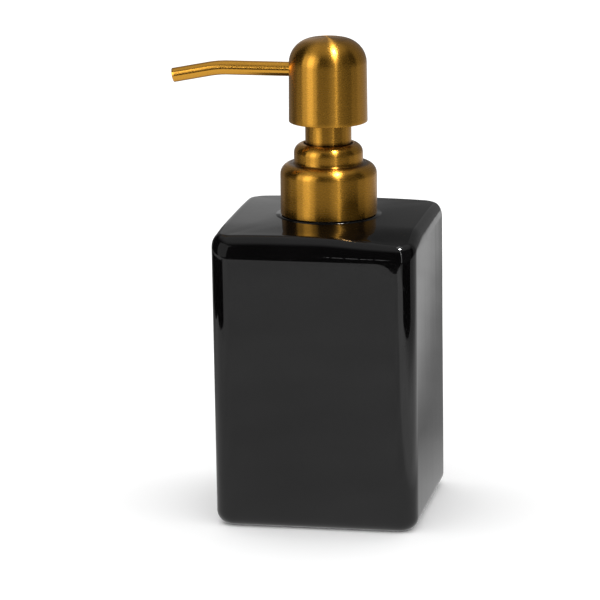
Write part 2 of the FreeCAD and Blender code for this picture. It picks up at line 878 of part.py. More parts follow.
doc.recompute()
for item in doc.Objects:
    if "Invalid" in item.State or "Error" in item.State:
        raise RuntimeError("%s failed: %s" % (item.Label, item.State))
for part in parts:
    if part.Shape.isNull() or not part.Shape.isValid():
        raise RuntimeError("%s has no valid shape" % part.Label)

os.makedirs("parts", exist_ok=True)
for part in parts:
    part.Shape.exportStep("parts/%s.step" % part.Label)
    print("%-18s %9.1f mm3  solids %d" % (part.Label, part.Shape.Volume, len(part.Shape.Solids)))
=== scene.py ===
import json
import math

import bmesh
import bpy
from mathutils import Matrix, Vector, noise


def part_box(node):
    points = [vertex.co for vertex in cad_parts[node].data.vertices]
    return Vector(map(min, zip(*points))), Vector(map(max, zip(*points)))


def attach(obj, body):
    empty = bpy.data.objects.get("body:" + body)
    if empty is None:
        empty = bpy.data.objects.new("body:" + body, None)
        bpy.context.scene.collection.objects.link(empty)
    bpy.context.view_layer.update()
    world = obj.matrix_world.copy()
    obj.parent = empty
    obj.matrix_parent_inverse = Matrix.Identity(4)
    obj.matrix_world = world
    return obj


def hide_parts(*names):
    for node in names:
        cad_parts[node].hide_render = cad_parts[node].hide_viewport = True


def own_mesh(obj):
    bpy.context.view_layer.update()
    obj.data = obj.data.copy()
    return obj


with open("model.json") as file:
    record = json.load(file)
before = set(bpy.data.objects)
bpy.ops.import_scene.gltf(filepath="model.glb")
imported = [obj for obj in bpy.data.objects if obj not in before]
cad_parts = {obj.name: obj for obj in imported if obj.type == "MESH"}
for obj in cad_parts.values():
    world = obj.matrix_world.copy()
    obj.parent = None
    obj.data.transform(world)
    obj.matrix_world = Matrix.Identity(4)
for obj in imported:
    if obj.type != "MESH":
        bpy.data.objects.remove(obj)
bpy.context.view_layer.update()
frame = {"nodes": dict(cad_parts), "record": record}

# A square black glazed bottle with a gold-toned soap pump. The CAD frame gives every place and
# size; this script builds the visible skins around it, and the materials, light and camera.

MM = 0.001
NODES = frame["nodes"]


def low(node):
    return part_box(node)[0]


def high(node):
    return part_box(node)[1]


# ---- mesh building --------------------------------------------------------------------------

def mesh_object(name, vertices, faces, smooth=True):
    mesh = bpy.data.meshes.new(name)
    mesh.from_pydata([tuple(v) for v in vertices], [], faces)
    mesh.validate()
    mesh.update()
    piece = bpy.data.objects.new(name, mesh)
    bpy.context.scene.collection.objects.link(piece)
    for polygon in mesh.polygons:
        polygon.use_smooth = smooth
    return piece


def face_outwards(piece):
    """Turns every face of a closed mesh to point out of its solid."""
    work = bmesh.new()
    work.from_mesh(piece.data)
    bmesh.ops.recalc_face_normals(work, faces=work.faces)
    work.to_mesh(piece.data)
    work.free()


def mark_sharp(piece, degrees):
    """Keeps edges sharper than an angle crisp under smooth shading."""
    limit = math.radians(degrees)
    work = bmesh.new()
    work.from_mesh(piece.data)
    for edge in work.edges:
        if len(edge.link_faces) == 2 and edge.calc_face_angle(0) > limit:
            edge.smooth = False
    work.to_mesh(piece.data)
    work.free()


def skin_loops(name, loops, closed_path=True, cap_start=False, cap_end=False):
    """A surface through loops of equal length; the loops' path may close on itself."""
    count = len(loops[0])
    vertices = [v for loop in loops for v in loop]
    faces = []
    spans = len(loops) if closed_path else len(loops) - 1
    for i in range(spans):
        a = i * count
        b = ((i + 1) % len(loops)) * count
        for k in range(count):
            n = (k + 1) % count
            faces.append((a + k, a + n, b + n, b + k))
    if cap_start:
        centre = sum(loops[0], Vector()) / count
        vertices.append(centre)
        faces.extend((len(vertices) - 1, (k + 1) % count, k) for k in range(count))
    if cap_end:
        base = (len(loops) - 1) * count
        centre = sum(loops[-1], Vector()) / count
        vertices.append(centre)
        faces.extend((len(vertices) - 1, base + k, base + (k + 1) % count) for k in range(count))
    piece = mesh_object(name, vertices, faces)
    face_outwards(piece)
    return piece


def arc_points(centre, radius, start, end, steps):
    """Points (r, z) along an arc; angles in degrees from +r towards +z, both ends included."""
    points = []
    for i in range(steps + 1):
        angle = math.radians(start + (end - start) * i / steps)
        points.append((centre[0] + radius * math.cos(angle), centre[1] + radius * math.sin(angle)))
    return points


def line_points(start, end, step):
    """Points from start up to, but not including, end, about step apart."""
    count = max(1, round(math.dist(start, end) / step))
    return [(start[0] + (end[0] - start[0]) * i / count,
             start[1] + (end[1] - start[1]) * i / count) for i in range(count)]


def turned_loops(profile, around):
    """A level circle of points for each (radius, height) of a profile."""
    return [[Vector((radius * math.cos(2 * math.pi * k / around),
                     radius * math.sin(2 * math.pi * k / around), height)) for k in range(around)]
            for radius, height in profile]


def lathe(name, profile, around):
    """A solid turned about Z from a closed outline of (radius, height) points."""
    return skin_loops(name, turned_loops(profile, around))


# ---- bottle ---------------------------------------------------------------------------------

FLAT_STEPS = 44
CORNER_STEPS = 14


def square_loop(half, corner, height):
    """A square with rounded corners, counter-clockwise, with the same point count each time."""
    corner = max(corner, 0.05 * MM)
    flat = half - corner
    points = []
    for side in range(4):
        turn = Matrix.Rotation(side * math.pi / 2, 3, "Z")
        for i in range(FLAT_STEPS):
            points.append(turn @ Vector((half, -flat + 2 * flat * i / FLAT_STEPS, height)))
        for i in range(CORNER_STEPS):
            angle = math.pi / 2 * i / CORNER_STEPS
            points.append(turn @ Vector((flat + corner * math.cos(angle),
                                         flat + corner * math.sin(angle), height)))
    return points


def towards_circle(loop, radius, share):
    """Moves a loop towards the circle of that radius: share 0 keeps it, 1 is the circle."""
    moved = []
    for point in loop:
        flat = Vector((point.x, point.y, 0)).normalized() * radius
        moved.append(Vector((point.x + (flat.x - point.x) * share,
                             point.y + (flat.y - point.y) * share, point.z)))
    return moved


BOTTLE_CORNER = 6.6 * MM           # radius of the upright edges
RIM_INSET = 3.2 * MM               # how far the rounded rim reaches in over the top and base
RIM_HEIGHT = 5.2 * MM
FRONT_RIM_INSET = 5.2 * MM         # the rim is rounder and deeper along the front
FRONT_RIM_HEIGHT = 8.2 * MM
LOW_RIM_INSET = 4.6 * MM
EDGE_HEIGHT = 99.55 * MM           # height of the top face at the middle of its edges
CORNER_DROP = 0.55 * MM            # how much lower it is at its corners
FRONT_SAG = 0.6 * MM               # how much lower the top face is along the front
CORNER_SAG = 1.5 * MM              # and how much more at the front's right-hand corner
MOUTH = 14.6 * MM
MOUTH_LAND = 17.6 * MM             # radius of the level ring round the mouth
LAND_HEIGHT = high("bottle_body").z - 0.05 * MM
CAST_HALF = 34 * MM                # half the bottle's width, to which its lean is scaled
CAST_SIDE = 30 * MM                # where a wall counts as fully facing its side
RUN_X, RUN_Z = 27.4 * MM, 86.6 * MM          # the run of glaze hanging on the front
RUN_WIDTH, RUN_HEIGHT = 2.4 * MM, 2.8 * MM
RUN_DEPTH = 0.13 * MM


def wave(point, size, seed):
    """Smooth seeded noise with waves of about that size."""
    return noise.noise(point / size + Vector((seed, 3.1, 7.7)))


def cast(point, height):
    """Bends the true square into the slip-cast one: leaning walls, slow waves and glaze runs."""
    rise = point.z / height
    facing_front = min(1, max(0, -point.y / CAST_SIDE) ** 4)
    left = (0.78 - 0.76 * rise) * MM
    right = (0.08 + 0.38 * rise) * MM
    share = 0.5 + 0.5 * max(-1, min(1, point.x / CAST_SIDE))
    inset_x = left + (right - left) * share
    calm = 1 - 0.9 * facing_front
    slow = wave(point, 34 * MM, 4.0) * 0.05 * MM * calm
    middle = wave(point, 15 * MM, 9.0) * 0.016 * MM * calm
    runs = noise.noise(Vector((point.x / (5 * MM), point.y / (5 * MM), point.z / (70 * MM))))
    depth = 0.06 * MM + slow + middle + runs * 0.012 * MM * calm
    # a thick run of glaze hangs below the top at the front's right-hand end
    run_x = (point.x - RUN_X) / RUN_WIDTH
    run_z = (point.z - RUN_Z) / RUN_HEIGHT
    depth -= RUN_DEPTH * facing_front * math.exp(-run_x * run_x / 2 - run_z * run_z / 2)
    x = point.x * (1 - (inset_x + depth) / CAST_HALF)
    y = point.y * (1 - (0.35 * MM + depth) / CAST_HALF)
    return Vector((x, y, point.z))


def ease(value):
    """A smooth step from 0 to 1."""
    value = min(1, max(0, value))
    return value * value * (3 - 2 * value)


def top_height(point, inner, crown):
    """Height of the crowned top face; crown runs from 0 at its edge to 1 at the mouth."""
    cornered = min(1, min(abs(point.x), abs(point.y)) / inner)
    towards_front = ease((-point.y - 14 * MM) / (19 * MM))
    towards_right = ease((point.x - 2 * MM) / (25 * MM))
    sag = (FRONT_SAG + CORNER_SAG * towards_right) * towards_front
    edge = EDGE_HEIGHT - CORNER_DROP * cornered ** 3 - sag
    return edge + (LAND_HEIGHT - edge) * crown


def build_bottle():
    half = high("bottle_body").x
    height = high("bottle_body").z
    corner = BOTTLE_CORNER
    wall = 4.0 * MM
    floor = 5.0 * MM
    roof = 5.6 * MM
    lip = 0.7 * MM
    rim_steps = 18
    wall_step = 1.5 * MM
    top_inner = half - RIM_INSET
    outline = square_loop(half, corner, 0)
    frontness = [ease((-point.y - half + corner) / corner) for point in outline]
    near_inner = square_loop(half - FRONT_RIM_INSET, corner - FRONT_RIM_INSET, 0)
    far_inner = square_loop(top_inner, corner - RIM_INSET, 0)
    # the rounder front rim fades out towards the right
    roundness = [share * (1 - 0.7 * ease((point.x - 8 * MM) / (20 * MM)))
                 for share, point in zip(frontness, outline)]
    deeper = [(near - far) * share
              for near, far, share in zip(near_inner, far_inner, roundness)]
    feet = [EDGE_HEIGHT - RIM_HEIGHT - (FRONT_RIM_HEIGHT - RIM_HEIGHT) * share
            for share in frontness]

    loops = []
    # base, from near the middle out to the lower rim
    base_shares = (0.06, 0.35, 0.7, 0.85, 0.93, 0.97)
    for share in base_shares:
        loops.append(square_loop((half - LOW_RIM_INSET) * share,
                                 (corner - LOW_RIM_INSET) * share, 0))
    for i in range(rim_steps + 1):
        angle = math.pi / 2 * i / rim_steps
        inset = LOW_RIM_INSET * (1 - math.sin(angle))
        loops.append(square_loop(half - inset, corner - inset,
                                 LOW_RIM_INSET * (1 - math.cos(angle))))
    steps = round((EDGE_HEIGHT - RIM_HEIGHT - LOW_RIM_INSET) / wall_step)
    for i in range(1, steps):
        loop = square_loop(half, corner, LOW_RIM_INSET)
        for point, foot in zip(loop, feet):
            point.z += (foot - LOW_RIM_INSET) * i / steps
        loops.append(loop)
    for i in range(rim_steps + 1):
        angle = math.pi / 2 * i / rim_steps
        share = 1 - math.cos(angle)
        inset = RIM_INSET * share
        loop = square_loop(half - inset, corner - inset, 0)
        for point, extra, foot in zip(loop, deeper, feet):
            point += extra * share
            point.z = foot + (top_height(point, top_inner, 0) - foot) * math.sin(angle)
        loops.append(loop)
    # top, turning from the square to the round mouth
    top_steps = 24
    for i in range(1, top_steps + 1):
        share = i / top_steps
        size = top_inner + (MOUTH_LAND - top_inner) * share
        loop = towards_circle(square_loop(size, corner - RIM_INSET + size * 0.6 * share, 0),
                              MOUTH_LAND, share ** 1.5)
        crown = ease(share)
        for point, extra in zip(loop, deeper):
            point += extra * (1 - share)
            point.z = top_height(point, top_inner, crown)
        loops.append(loop)
    for loop in loops[len(base_shares):]:
        for k, point in enumerate(loop):
            loop[k] = cast(point, height)
    circle = loops[-1]
    land_height = sum(point.z for point in circle) / len(circle)

    def ring(radius, z):
        return [Vector((p.x, p.y, 0)).normalized() * radius + Vector((0, 0, z)) for p in circle]

    loops[-1] = ring(MOUTH_LAND, land_height)
    loops.append(ring(MOUTH + lip, land_height))
    for i in range(1, 6):
        angle = math.pi / 2 * i / 5
        loops.append(ring(MOUTH + lip * (1 - math.sin(angle)),
                          land_height - lip * (1 - math.cos(angle))))
    loops.append(ring(MOUTH, height - roof))
    # cavity, its edges rounded
    cavity = half - wall
    cavity_corner = corner - wall
    ceiling = height - roof
    fillet = 2 * MM
    for share in (0.66, 0.33, 0.08):
        size = MOUTH + (cavity - fillet - MOUTH) * (1 - share)
        loops.append(towards_circle(square_loop(size, cavity_corner, ceiling), MOUTH, share))
    for i in range(7):
        angle = math.pi / 2 * i / 6
        inset = fillet * (1 - math.sin(angle))
        loops.append(square_loop(cavity - inset, cavity_corner - inset,
                                 ceiling - fillet * (1 - math.cos(angle))))
    for i in range(7):
        angle = math.pi / 2 * i / 6
        inset = fillet * (1 - math.cos(angle))
        loops.append(square_loop(cavity - inset, cavity_corner - inset,
                                 floor + fillet * (1 - math.sin(angle))))
    for share in (0.6, 0.1):
        loops.append(square_loop((cavity - fillet) * share,
                                 (cavity_corner - fillet) * share, floor))

    piece = skin_loops("bottle_glaze", loops, closed_path=False, cap_start=True, cap_end=True)
    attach(piece, "bottle")
    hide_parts("bottle_body")
    return piece


# ---- pump metalwork -------------------------------------------------------------------------

SHEET = 0.5 * MM                   # thickness of the pressed metal
METAL_STEPS = 192                  # points round the collar and the head
SLEEVE_STEPS = 144
COLLAR_SHOULDER = low("collar_shell").z + 17.0 * MM


def build_collar():
    base = low("collar_shell").z
    top = high("collar_shell").z
    radius = high("collar_shell").x
    shoulder = COLLAR_SHOULDER
    step = 11.5 * MM
    hole = 8.2 * MM
    turn = 3.7 * MM
    step_turn = 3.2 * MM
    root = 0.9 * MM
    lip = 0.22 * MM
    hole_turn = 0.25 * MM

    profile = []
    # the bottom edge is rounded where the sheet was trimmed
    profile += arc_points((radius - lip, base + lip), lip, 270, 360, 4)
    profile += line_points((radius, base + lip), (radius, shoulder - turn), 1.2 * MM)[1:]
    profile += arc_points((radius - turn, shoulder - turn), turn, 0, 90, 14)
    profile += arc_points((step + root, shoulder + root), root, 270, 180, 6)
    profile += line_points((step, shoulder + root), (step, top - step_turn), 1.0 * MM)[1:]
    profile += arc_points((step - step_turn, top - step_turn), step_turn, 0, 84, 12)
    # the sheet turns down into the sleeve's hole
    profile += arc_points((hole + hole_turn, top - hole_turn), hole_turn, 90, 180, 5)
    profile += [(hole, top - SHEET)]
    inner_step = step - SHEET
    profile += arc_points((step - step_turn, top - step_turn), step_turn - SHEET, 84, 0, 8)
    profile += [(inner_step, shoulder - SHEET)]
    profile += arc_points((radius - turn, shoulder - turn), turn - SHEET, 90, 0, 8)
    profile += [(radius - SHEET, base + lip), (radius - SHEET + 0.1 * MM, base)]
    piece = lathe("collar_skin", profile, METAL_STEPS)
    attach(piece, "closure")
    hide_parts("collar_shell")
    return piece


def dome_profile(top, radius, wall):
    """Points of the dome from the axis out to its shoulder's foot, wall inside the surface."""
    crown = 40.0 * MM
    shoulder = 8.3 * MM
    gap = crown - shoulder
    reach = radius - shoulder
    rise = math.sqrt(gap ** 2 - reach ** 2)
    crown_centre = top - crown
    join = math.degrees(math.atan2(rise, reach))
    points = arc_points((0, crown_centre), crown - wall, 90, join, 16)[1:]
    points += arc_points((reach, crown_centre + rise), shoulder - wall, join, 0, 22)[1:]
    return points


def build_head():
    base = low("head_shell").z
    top = high("head_shell").z
    skirt = high("head_shell").x
    radius = skirt - 0.15 * MM
    lip = 0.24 * MM
    pole = 0.4 * MM                # radius of the small cap at the dome's middle

    outside = dome_profile(top, radius, 0)
    foot = outside[-1]
    profile = [(pole, top)] + outside
    profile += line_points(foot, (skirt, base + lip), 1.2 * MM)[1:]
    profile += arc_points((skirt - lip, base + lip), lip, 0, -180, 8)
    inside = dome_profile(top, radius, SHEET)
    profile += list(reversed(inside))
    profile += [(pole, top - SHEET)]

    piece = skin_loops("head_skin", turned_loops(profile, METAL_STEPS), closed_path=False,
                       cap_start=True, cap_end=True)

    # the hole that the spout passes through
    axis_height = spout_height()
    bore = spout_radius() + 0.06 * MM
    around = 48
    cutter_loops = []
    for x in (-skirt - 2 * MM, -radius + 4 * MM):
        cutter_loops.append([Vector((x, bore * math.cos(2 * math.pi * k / around),
                                     axis_height + bore * math.sin(2 * math.pi * k / around)))
                             for k in range(around)])
    cutter = skin_loops("spout_hole_cutter", cutter_loops, closed_path=False,
                        cap_start=True, cap_end=True)
    cut(piece, cutter)
    mark_sharp(piece, 50)
    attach(piece, "head")
    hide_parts("head_shell")
    return piece


def cut(piece, cutter):
    """Takes the cutter's solid out of the piece for good."""
    modifier = piece.modifiers.new("cut", "BOOLEAN")
    modifier.operation = "DIFFERENCE"
    modifier.solver = "EXACT"
    modifier.object = cutter
    bpy.context.view_layer.update()
    graph = bpy.context.evaluated_depsgraph_get()
    mesh = bpy.data.meshes.new_from_object(piece.evaluated_get(graph))
    piece.modifiers.clear()
    old = piece.data
    piece.data = mesh
    bpy.data.meshes.remove(old)
    bpy.data.objects.remove(cutter)
    for polygon in piece.data.polygons:
        polygon.use_smooth = True


def build_sleeve():
    lo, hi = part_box("neck_sleeve")
    radius = hi.x
    inner = radius - SHEET
    lip = 0.15 * MM
    profile = arc_points((radius - lip, lo.z + lip), lip, 270, 360, 3)
    profile += line_points((radius, lo.z + lip), (radius, hi.z), 1.2 * MM)[1:]
    profile += [(radius, hi.z), (inner, hi.z), (inner, lo.z)]
    piece = lathe("sleeve_skin", profile, SLEEVE_STEPS)
    mark_sharp(piece, 50)
    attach(piece, "head")
    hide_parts("neck_sleeve")
    return piece


# ---- spout ----------------------------------------------------------------------------------

def spout_radius():
    return high("spout_tube").y


def spout_height():
    return high("spout_tube").z - spout_radius()


DROOP = math.radians(11.0)
LEVEL_STEPS = 20
BEND_STEPS = 12


def spout_centreline():
    """Places and tangents along the spout: level, a gentle bend, then a drooping end."""
    start = -high("spout_tube").x
    bend = 37.0 * MM
    bend_radius = 34.0 * MM
    lead = bend_radius * math.tan(DROOP / 2)
    z = spout_height()
    stations = []
    first_end = bend - lead
    for i in range(LEVEL_STEPS):
        stations.append((start + (first_end - start) * i / LEVEL_STEPS, z, 0.0))
    for i in range(BEND_STEPS + 1):
        angle = DROOP * i / BEND_STEPS
        stations.append((first_end + bend_radius * math.sin(angle),
                         z - bend_radius * (1 - math.cos(angle)), angle))
    bend_end = stations[-1]
    tip = -low("spout_tube").x - spout_radius() * math.sin(DROOP)
    length = (tip - bend_end[0]) / math.cos(DROOP)
    for i in range(1, BEND_STEPS + 1):
        run = length * i / BEND_STEPS
        stations.append((bend_end[0] + run * math.cos(DROOP),
                         bend_end[1] - run * math.sin(DROOP), DROOP))
    return [(Vector((-x, 0, height)), Vector((-math.cos(a), 0, -math.sin(a))))
            for x, height, a in stations]


def tube_ring(place, tangent, radius, around=56):
    up = Vector((0, 1, 0)).cross(tangent).normalized()
    return [place + (Vector((0, 1, 0)) * math.cos(2 * math.pi * k / around)
                     + up * math.sin(2 * math.pi * k / around)) * radius for k in range(around)]


def build_spout():
    outer = spout_radius()
    inner = outer - 0.4 * MM
    lip = 0.16 * MM
    stations = spout_centreline()
    loops = [tube_ring(place, tangent, outer) for place, tangent in stations[:-1]]
    tip, direction = stations[-1]
    # the tip's cut is rolled over slightly
    for i in range(7):
        angle = math.pi * i / 6
        radius = (outer + inner) / 2 + (outer - inner) / 2 * math.cos(angle)
        loops.append(tube_ring(tip - direction * lip * (1 - math.sin(angle)), direction, radius))
    loops += [tube_ring(place, tangent, inner) for place, tangent in reversed(stations[:-1])]
    piece = skin_loops("spout_skin", loops)
    mark_sharp(piece, 60)
    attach(piece, "head")
    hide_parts("spout_tube")
    return piece


# ---- return spring --------------------------------------------------------------------------

SPRING_WIRE = 0.45 * MM            # radius of the wire


def build_spring():
    """The coil between the ball cage and the stem, with closed end turns."""
    lo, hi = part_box("return_spring")
    wire = SPRING_WIRE
    radius = hi.x - wire
    turns = 9
    per_turn = 40
    around = 12
    foot = lo.z + wire
    climb = hi.z - lo.z - 2 * wire
    end_turn = 1.0
    end_climb = 2.05 * wire / climb
    open_turns = turns - 2 * end_turn

    def height(turn):
        if turn < end_turn:
            share = end_climb * turn / end_turn
        elif turn > turns - end_turn:
            share = 1 - end_climb * (turns - turn) / end_turn
        else:
            share = end_climb + (1 - 2 * end_climb) * (turn - end_turn) / open_turns
        return foot + climb * share

    loops = []
    for i in range(turns * per_turn + 1):
        turn = i / per_turn
        angle = 2 * math.pi * turn
        out = Vector((math.cos(angle), math.sin(angle), 0))
        place = out * radius + Vector((0, 0, height(turn)))
        loops.append([place + (out * math.cos(2 * math.pi * k / around)
                               + Vector((0, 0, math.sin(2 * math.pi * k / around)))) * wire
                      for k in range(around)])
    piece = skin_loops("spring_coil", loops, closed_path=False, cap_start=True, cap_end=True)
    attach(piece, "pump_body")
    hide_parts("return_spring")
    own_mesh(piece)
    return piece


# ---- materials ------------------------------------------------------------------------------

class Nodes:
    """A short way to make and wire a material's shader nodes."""

    def __init__(self, name):
        self.material = bpy.data.materials.new(name)
        self.material.use_nodes = True
        self.tree = self.material.node_tree
        self.tree.nodes.clear()
        self.output = self.add("ShaderNodeOutputMaterial")
        self.shader = self.add("ShaderNodeBsdfPrincipled")
        self.wire(self.shader.outputs["BSDF"], self.output.inputs["Surface"])

    def add(self, kind, **settings):
        node = self.tree.nodes.new(kind)
        for key, setting in settings.items():
            setattr(node, key, setting)
        return node

    def wire(self, source, target):
        self.tree.links.new(source, target)

    def set(self, **values):
        for key, value in values.items():
            self.shader.inputs[key.replace("_", " ")].default_value = value

    def place(self, scale):
        """Object coordinates in metres, stretched by a scale for each axis."""
        coordinates = self.add("ShaderNodeTexCoord")
        mapping = self.add("ShaderNodeMapping")
        mapping.inputs["Scale"].default_value = scale
        self.wire(coordinates.outputs["Object"], mapping.inputs["Vector"])
        return mapping.outputs["Vector"]

    def noise(self, vector, scale=1.0, detail=2.0, roughness=0.5):
        node = self.add("ShaderNodeTexNoise")
        node.inputs["Scale"].default_value = scale
        node.inputs["Detail"].default_value = detail
        node.inputs["Roughness"].default_value = roughness
        self.wire(vector, node.inputs["Vector"])
        return node.outputs["Fac"]

    def ramp(self, value, stops):
        """A colour ramp; stops are (place, colour)."""
        node = self.add("ShaderNodeValToRGB")
        elements = node.color_ramp.elements
        while len(elements) < len(stops):
            elements.new(0.5)
        for element, (place, colour) in zip(elements, stops):
            element.position = place
            element.color = (*colour, 1)
        self.wire(value, node.inputs["Fac"])
        return node.outputs["Color"]

    def remap(self, value, from_low, from_high, to_low, to_high):
        node = self.add("ShaderNodeMapRange")
        for key, number in (("From Min", from_low), ("From Max", from_high),
                            ("To Min", to_low), ("To Max", to_high)):
            node.inputs[key].default_value = number
        self.wire(value, node.inputs["Value"])
        return node.outputs["Result"]

    def maths(self, operation, first, second):
        node = self.add("ShaderNodeMath", operation=operation)
        for socket, value in zip(node.inputs, (first, second)):
            if isinstance(value, (int, float)):
                socket.default_value = value
            else:
                self.wire(value, socket)
        return node.outputs[0]

    def mix_colour(self, share, first, second):
        node = self.add("ShaderNodeMix", data_type="RGBA")
        self.wire(share, node.inputs["Factor"])
        for socket, colour in ((node.inputs[6], first), (node.inputs[7], second)):
            if isinstance(colour, tuple):
                socket.default_value = (*colour, 1)
            else:
                self.wire(colour, socket)
        return node.outputs[2]

    def bump(self, height, strength, distance, below=None):
        node = self.add("ShaderNodeBump")
        node.inputs["Strength"].default_value = strength
        node.inputs["Distance"].default_value = distance
        self.wire(height, node.inputs["Height"])
        if below:
            self.wire(below, node.inputs["Normal"])
        return node.outputs["Normal"]


def black_glaze():
    n = Nodes("black_glaze")
    place = n.place((1, 1, 1))
    # tone varies a little where the glaze is thicker
    cloud = n.noise(place, 60, 3)
    tone = n.ramp(cloud, [(0.3, (0.0010, 0.0009, 0.0010)), (0.75, (0.0020, 0.0018, 0.0019))])
    n.wire(tone, n.shader.inputs["Base Color"])
    orange_peel = n.noise(place, 420, 2)
    pits = n.noise(place, 2600, 1)
    rough = n.remap(orange_peel, 0.3, 0.8, 0.02, 0.055)
    n.wire(rough, n.shader.inputs["Roughness"])
    # the side walls belly out a little, as a slow change of slope from front to back
    split = n.add("ShaderNodeSeparateXYZ")
    n.wire(place, split.inputs[0])
    belly = n.maths("MULTIPLY", n.maths("MULTIPLY", split.outputs["Y"], split.outputs["Y"]), -0.55)
    streaks = n.noise(n.place((300, 300, 12)), 1.0, 2)
    slope = n.bump(belly, 1.0, 1.0)
    peel = n.bump(orange_peel, 0.03, 0.00006, n.bump(streaks, 0.22, 0.00012, slope))
    fine = n.bump(n.remap(pits, 0.68, 0.82, 0, -1), 0.25, 0.00003, peel)
    n.wire(fine, n.shader.inputs["Normal"])
    n.set(IOR=1.52)
    return n.material


def crease_painted_shade(n, height, reach):
    """Zero, for painted shade in a crease, at and below a height, rising to one over the reach
    above it.
    """
    split = n.add("ShaderNodeSeparateXYZ")
    n.wire(n.place((1, 1, 1)), split.inputs[0])
    return n.remap(split.outputs["Z"], height, height + reach, 0.0, 1.0)


def below(n, height):
    """One below a height and none above it."""
    split = n.add("ShaderNodeSeparateXYZ")
    n.wire(n.place((1, 1, 1)), split.inputs[0])
    return n.remap(split.outputs["Z"], height - 0.35 * MM, height + 0.05 * MM, 1.0, 0.0)


def spout_root_painted_shade(n, height, start, reach):
    """Zero, for painted shade where the spout enters the head, on the head round the spout's root,
    rising to one further out.
    """
    split = n.add("ShaderNodeSeparateXYZ")
    n.wire(n.place((1, 1, 1)), split.inputs[0])
    rise = n.maths("SUBTRACT", split.outputs["Z"], height)
    spread = n.maths("ADD", n.maths("MULTIPLY", rise, rise),
                     n.maths("MULTIPLY", split.outputs["Y"], split.outputs["Y"]))
    away = n.remap(n.maths("SQRT", spread, 0.0), start, start + reach, 0.0, 1.0)
    # only on the side that the spout comes out of
    return n.maths("MAXIMUM", away, n.remap(split.outputs["X"], -8 * MM, -6 * MM, 0.0, 1.0))


def brushed_gold(name, grain, tangent_axis, across, roughness, stretch, gain, painted_shade_mask=None):
    """Gold-toned stainless, brushed along its length or round its axis; gain scales its tone, and
    it is set higher on the spout as painted light. The last argument, a mask maker, gives 0 where
    painted shade darkens its colour and 1 where it is left clear."""
    n = Nodes(name)
    lines = n.noise(n.place(grain), 1.0, 3, 0.65)
    speckle = n.noise(n.place((1, 1, 1)), 1500, 2)
    blotch = n.noise(n.place((1, 1, 1)), 170, 2)
    shade = n.maths("ADD", n.maths("MULTIPLY", lines, 0.5), n.maths("MULTIPLY", speckle, 0.5))
    stops = [(0.32, (0.755, 0.366, 0.046)), (0.5, (0.79, 0.388, 0.052)),
             (0.68, (0.82, 0.41, 0.058))]
    tone = n.ramp(shade, [(at, tuple(gain * part for part in colour)) for at, colour in stops])
    if painted_shade_mask:
        # painted shade: a dark brown mixed into the colour where the mask is 0
        painted_shade_colour = tuple(gain * part for part in (0.16, 0.075, 0.014))
        tone = n.mix_colour(painted_shade_mask(n), painted_shade_colour, tone)
    n.wire(tone, n.shader.inputs["Base Color"])
    rough = n.maths("ADD", n.remap(lines, 0.3, 0.7, roughness - 0.012, roughness + 0.012),
                    n.remap(blotch, 0.3, 0.7, -0.006, 0.006))
    n.wire(rough, n.shader.inputs["Roughness"])
    n.wire(n.bump(lines, 0.03, 0.000008), n.shader.inputs["Normal"])
    tangent = n.add("ShaderNodeTangent", direction_type="RADIAL", axis=tangent_axis)
    n.wire(tangent.outputs["Tangent"], n.shader.inputs["Tangent"])
    n.set(Metallic=1.0, Anisotropic=stretch, Anisotropic_Rotation=across)
    return n.material


def moulded_plastic(name, colour, shadow, roughness, transmission=0.0):
    n = Nodes(name)
    place = n.place((1, 1, 1))
    cloud = n.noise(place, 180, 3)
    n.wire(n.mix_colour(n.remap(cloud, 0.3, 0.75, 0, 1), colour, shadow),
           n.shader.inputs["Base Color"])
    grain = n.noise(place, 2200, 2)
    n.wire(n.remap(grain, 0.3, 0.7, roughness - 0.05, roughness + 0.07),
           n.shader.inputs["Roughness"])
    n.wire(n.bump(grain, 0.15, 0.00003), n.shader.inputs["Normal"])
    n.set(IOR=1.5, Transmission_Weight=transmission)
    return n.material


def soft_rubber(name, colour, dusty):
    n = Nodes(name)
    place = n.place((1, 1, 1))
    dust = n.noise(place, 900, 4)
    n.wire(n.mix_colour(n.remap(dust, 0.5, 0.8, 0, 1), colour, dusty),
           n.shader.inputs["Base Color"])
    n.wire(n.remap(dust, 0.3, 0.8, 0.6, 0.85), n.shader.inputs["Roughness"])
    n.wire(n.bump(dust, 0.2, 0.00004), n.shader.inputs["Normal"])
    return n.material


def drawn_steel():
    n = Nodes("drawn_steel")
    grain = n.noise(n.place((1500, 1500, 9000)), 1.0, 2)
    n.wire(n.ramp(grain, [(0.3, (0.46, 0.46, 0.47)), (0.7, (0.66, 0.66, 0.67))]),
           n.shader.inputs["Base Color"])
    n.wire(n.remap(grain, 0.3, 0.7, 0.22, 0.34), n.shader.inputs["Roughness"])
    n.wire(n.bump(grain, 0.2, 0.00001), n.shader.inputs["Normal"])
    n.set(Metallic=1.0)
    return n.material


def coat(piece, material):
    piece.data.materials.clear()
    piece.data.materials.append(material)
    for polygon in piece.data.polygons:
        polygon.material_index = 0


# ---- floor, light and camera ----------------------------------------------------------------

def build_floor():
    size = 1.6
    floor = mesh_object("studio_floor", [(-size, -size, 0), (size, -size, 0), (size, size, 0),
                                         (-size, size, 0)], [(0, 1, 2, 3)])
    floor.visible_glossy = False
    n = Nodes("pale_floor")
    cloud = n.noise(n.place((1, 1, 1)), 3.0, 2)
    n.wire(n.ramp(cloud, [(0.2, (0.90, 0.90, 0.90)), (0.8, (0.93, 0.93, 0.93))]),
           n.shader.inputs["Base Color"])
    n.set(Roughness=0.9, Specular_IOR_Level=0.0)
    coat(floor, n.material)
    return floor


